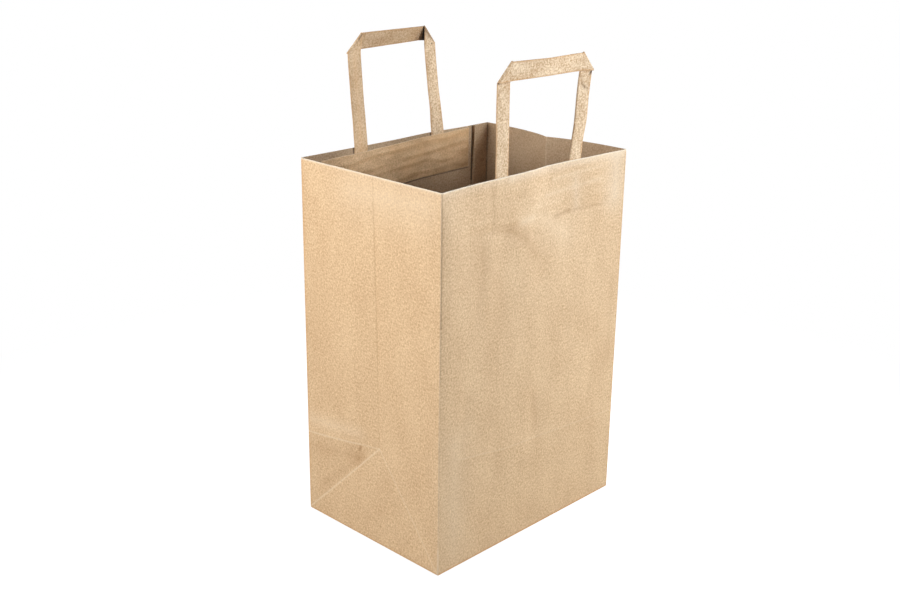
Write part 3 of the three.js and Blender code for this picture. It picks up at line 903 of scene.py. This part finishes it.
# Painted shade, painted shadows and painted highlights at each mitre fold and its leg, whose places along
# the tape are counted from the leg's top. The first one is laid three times, because the painted shadow in
# the gap inside the rear handle's left fold is nearly black.
for top, marks in (
    (rear_left_top, (
        *[((-tape_edge, 14), (tape_edge, 15.5), 8, black_shadow, 1.0, low_face)] * 3,
        ((-tape_edge, 11), (-tape_edge, 17), 26, black_shadow, 1.0, rounded),
        ((-tape_edge, 7), (tape_edge, 7), 6, deep_shade, 0.75, high_face),
        ((3, -1), (2, -1), 1.7, gap_shadow, 0.9, high_face),
    )),
    (rear_right_top, (
        ((0, 6), (0, 90), 24, warm_highlight, 0.45, high_face),
        ((-tape_edge, -7.5), (tape_edge, -7.5), 2.5, shade, 0.5, high_face),
        ((-7.5, -8.3), (-4, -8), 1.6, gap_shadow, 0.7, high_face),
    )),
    (front_left_top, (
        ((-tape_edge, -0.2), (tape_edge, -0.2), 1.5, deep_shade, 0.7, low_face),
        ((6.5, -0.8), (3, -0.4), 1.7, gap_shadow, 0.9, low_face),
        ((5, -6), (6, -11), 2.6, shade, 0.6, low_face),
        ((0.3, -10.5), (0.8, -11), 3.2, pale_wear_and_highlight, 0.6, low_face),
    )),
    (front_right_top, (
        ((-tape_edge, 0), (-tape_edge, 84), 2.4, gap_shadow, 1.0, low_face),
        ((-tape_edge, 12), (-tape_edge, 84), 24, gap_shadow, 1.0, rounded),
        ((tape_edge, 0), (6.5, 2.5), 4.2, black_shadow, 1.0, low_face),
        ((tape_edge, 0), (tape_edge, 3), 24, black_shadow, 1.0, rounded),
        ((-tape_edge, 0.2), (tape_edge, 0.2), 1.5, deep_shade, 0.5, low_face),
        ((-5.5, 5), (-3, 11.5), 3.4, shade, 0.7, low_face),
        ((-3, 11.5), (1, 15), 3.4, deep_shade, 0.55, low_face),
        ((1, 15), (5, 16), 3.4, deep_shade, 0.5, low_face),
    )),
):
    tape_marks += [((x, top + a), (end_x, top + b), *look) for (x, a), (end_x, b), *look in marks]
tape_paper, tree, place, fibre_colours = paper_material(
    "handle_tape", dark_fibre=(194, 155, 111), pale_fibre=(248, 222, 184),
    speck_strength=1.4, cloud_strength=1.4, cloud_rate=0.1,
)
paint(tree, marked(tree, place, fibre_colours, tape_marks))
for name, handle in handles.items():
    handle.data.materials.append(tape_paper)
    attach(handle, "root")
    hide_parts(f"handle_{name}")

# The reinforcing patches
# A strip of kraft paper is glued inside each panel over the ends of the handle's legs. Its glue has
# wrinkled it along its length, and it steps over the two legs.
patch_width = 198
patch_height = 41
patch_drop = 4.2
patch_ramp = 9
patch_columns, patch_rows = 120, 40
leg_margin = 2
glued_edge, glued_end = 5, 6  # where the glue holds a patch flat along its long and short edges
puffed, pressed = 0.6, -0.05  # how far its middle stands up on the mean, and the lowest that a wave goes


def patch_sheet(name, panel):
    """A patch on a grid along and down the panel: it stands off by one glue line, or by the tape too
    over a leg, and its wrinkles are long waves that die away at its glued edges."""
    x = np.linspace(-patch_width / 2, patch_width / 2, patch_columns)
    down = np.linspace(0, patch_height, patch_rows)[:, None]
    z = bag_height - patch_drop - down + x * np.tan(np.radians(panel["patch_tilt"]))
    x = x + panel["patch_shift"]
    low = paper + glue_line
    high = low + tape_thickness + glue_line
    flat_reach = tape_width / 2 + leg_glue_length * abs(np.tan(np.radians(panel["splay"]))) + leg_margin
    legs = [np.abs(x - panel["shift"] - side * panel["pitch"] / 2) for side in (-1, 1)]
    beside = smooth(np.minimum(*legs), flat_reach, flat_reach + patch_ramp)
    stand_off = high + (low - high) * beside
    held = smooth(down, 0, glued_edge) * smooth(patch_height - down, 0, glued_edge)
    held = held * smooth(patch_width / 2 - np.abs(x - panel["patch_shift"]), 0, glued_end)
    wrinkles = cockle(x / 9, down, panel["seed"] + 1, 7, 0.45)
    wrinkles = wrinkles + cockle(x / 5, down, panel["seed"] + 2, 13, 0.8)
    depth = panel_inward(panel, x, z) + stand_off + paper / 2
    depth = depth + held * np.maximum(wrinkles + puffed, pressed)
    points = on_panel(panel, x, depth, z)
    sheet = stacked(down, x - panel["patch_shift"], 0.0)
    faces = triangles(numbered(points))[:, ::-1]
    piece = paper_piece(name, points, sheet, faces, crease_angle=25)
    thicken(piece)
    return piece


patch_paper, tree, place, fibre_colours = paper_material(
    "patch_paper", dark_fibre=(197, 157, 112), pale_fibre=(246, 209, 160),
    speck_strength=1.0, cloud_strength=1.3, cloud_rate=0.1,
)
# Marks on a patch, as places down it and along it: its four pale cut edges, and soft painted highlights and
# painted shade over it
patch_end = patch_width / 2
patch_marks = (
    ((0, -patch_end), (0, patch_end), 1.2, pale_wear_and_highlight, 0.6),
    ((patch_height, -patch_end), (patch_height, patch_end), 1.2, pale_wear_and_highlight, 0.6),
    ((0, patch_end), (patch_height, patch_end), 1.2, pale_wear_and_highlight, 0.6),
    ((0, -patch_end), (patch_height, -patch_end), 1.2, pale_wear_and_highlight, 0.6),
    ((20, -62), (20, -95), 42, shade, 0.28),
    ((5, -95), (5, 10), 13, warm_highlight, 0.34),
    ((12, -38), (25, -8), 18, warm_highlight, 0.36),
    ((36, -99), (36, -52), 18, deep_shade, 0.38),
    ((20, 28), (20, 45), 16, shade, 0.15),
)
paint(tree, marked(tree, place, fibre_colours, patch_marks))
for name, panel in panels.items():
    patch = patch_sheet(f"patch_sheet_{name}", panel)
    patch.data.materials.append(patch_paper)
    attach(patch, "root")
    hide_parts(f"patch_{name}")

# The floor and the light
# The bag stands on a pale floor that looks white to the camera and keeps a soft shadow. Soft lamps stand
# to its left, ahead of its front panel, to its right and behind it, and a little room light fills the rest.
floor_half = 12.0
floor_drop = 0.0002  # below the bag's underside, so that the two faces don't fight
floor_mesh = bpy.data.meshes.new("floor")
floor_signs = ((-1, -1), (1, -1), (1, 1), (-1, 1))
floor_corners = [(x * floor_half, y * floor_half, -floor_drop) for x, y in floor_signs]
floor_mesh.from_pydata(floor_corners, [], [(0, 1, 2, 3)])
floor = bpy.data.objects.new("floor", floor_mesh)
scene.collection.objects.link(floor)
floor_paint = bpy.data.materials.new("pale_floor")
floor_paint.use_nodes = True
tree = floor_paint.node_tree
tree.nodes.remove(tree.nodes["Principled BSDF"])


def seen_directly(tree):
    """1 for rays that show the background itself: from the camera, in a reflection or through glass."""
    path = tree.nodes.new("ShaderNodeLightPath")
    seen = path.outputs["Is Camera Ray"]
    for kind in ("Glossy", "Transmission"):
        seen = math_node(tree, "MAXIMUM", seen, path.outputs[f"Is {kind} Ray"])
    return seen


def either(tree, factor, first, second):
    """A mix of two shaders: the first where the factor is 0, the second where it is 1."""
    node = tree.nodes.new("ShaderNodeMixShader")
    for socket, term in zip(node.inputs, (factor, first, second)):
        tree.links.new(term, socket)
    return node.outputs[0]


glow = tree.nodes.new("ShaderNodeEmission")
glow.inputs["Color"].default_value = (0.86, 0.86, 0.86, 1)
matt = tree.nodes.new("ShaderNodeBsdfDiffuse")
matt.inputs["Color"].default_value = (0.45, 0.45, 0.45, 1)
shaded_white = tree.nodes.new("ShaderNodeAddShader")
tree.links.new(glow.outputs[0], shaded_white.inputs[0])
tree.links.new(matt.outputs[0], shaded_white.inputs[1])
plain_white = tree.nodes.new("ShaderNodeEmission")
spot = tree.nodes.new("ShaderNodeTexCoord")
away = vector_node(tree, "LENGTH", spot.outputs["Object"]).outputs["Value"]
fading = tree.nodes.new("ShaderNodeMapRange")
fading.interpolation_type = "SMOOTHSTEP"
fading.inputs["From Min"].default_value = 0.35
fading.inputs["From Max"].default_value = 0.7
tree.links.new(away, fading.inputs["Value"])
seen_floor = either(tree, fading.outputs["Result"], shaded_white.outputs[0], plain_white.outputs[0])
floor_look = either(tree, seen_directly(tree), matt.outputs[0], seen_floor)
tree.links.new(floor_look, tree.nodes["Material Output"].inputs["Surface"])
floor_mesh.materials.append(floor_paint)

world = bpy.data.worlds.new("studio")
scene.world = world
world.use_nodes = True
tree = world.node_tree
room = tree.nodes["Background"]
room.inputs["Color"].default_value = (0.8, 0.95, 1.2, 1)
room.inputs["Strength"].default_value = 0.13
white = tree.nodes.new("ShaderNodeBackground")
white.inputs["Color"].default_value = (1, 1, 1, 1)
world_look = either(tree, seen_directly(tree), room.outputs[0], white.outputs[0])
tree.links.new(world_look, tree.nodes["World Output"].inputs["Surface"])

# Each square lamp's place, the height that it is aimed at, its size, spread, power and colour
for name, lamp_place, aim_height, size, spread, power, lamp_colour in (
    ("left_lamp", (-1.05, 0.19, 0.53), 0.49, 0.55, 130, 5.4, (1.0, 0.975, 0.955)),
    ("front_lamp", (0.3, -1.17, 0.64), 0.44, 0.36, 130, 4.2, (0.97, 1.0, 1.05)),
    ("right_lamp", (1.02, -0.64, 0.27), 0.22, 0.5, 130, 3.5, (1.0, 1.0, 0.96)),
    ("rear_lamp", (0.9, 1.2, 0.6), 0.25, 0.8, 180, 10, (1.0, 0.98, 0.96)),
):
    lamp = bpy.data.lights.new(name, "AREA")
    lamp.size = size
    lamp.spread = np.radians(spread)
    lamp.energy = power
    lamp.color = lamp_colour
    holder = bpy.data.objects.new(name, lamp)
    holder.location = lamp_place
    aim = Vector((0, 0, aim_height)) - Vector(lamp_place)
    holder.rotation_euler = aim.to_track_quat("-Z", "Y").to_euler()
    scene.collection.objects.link(holder)
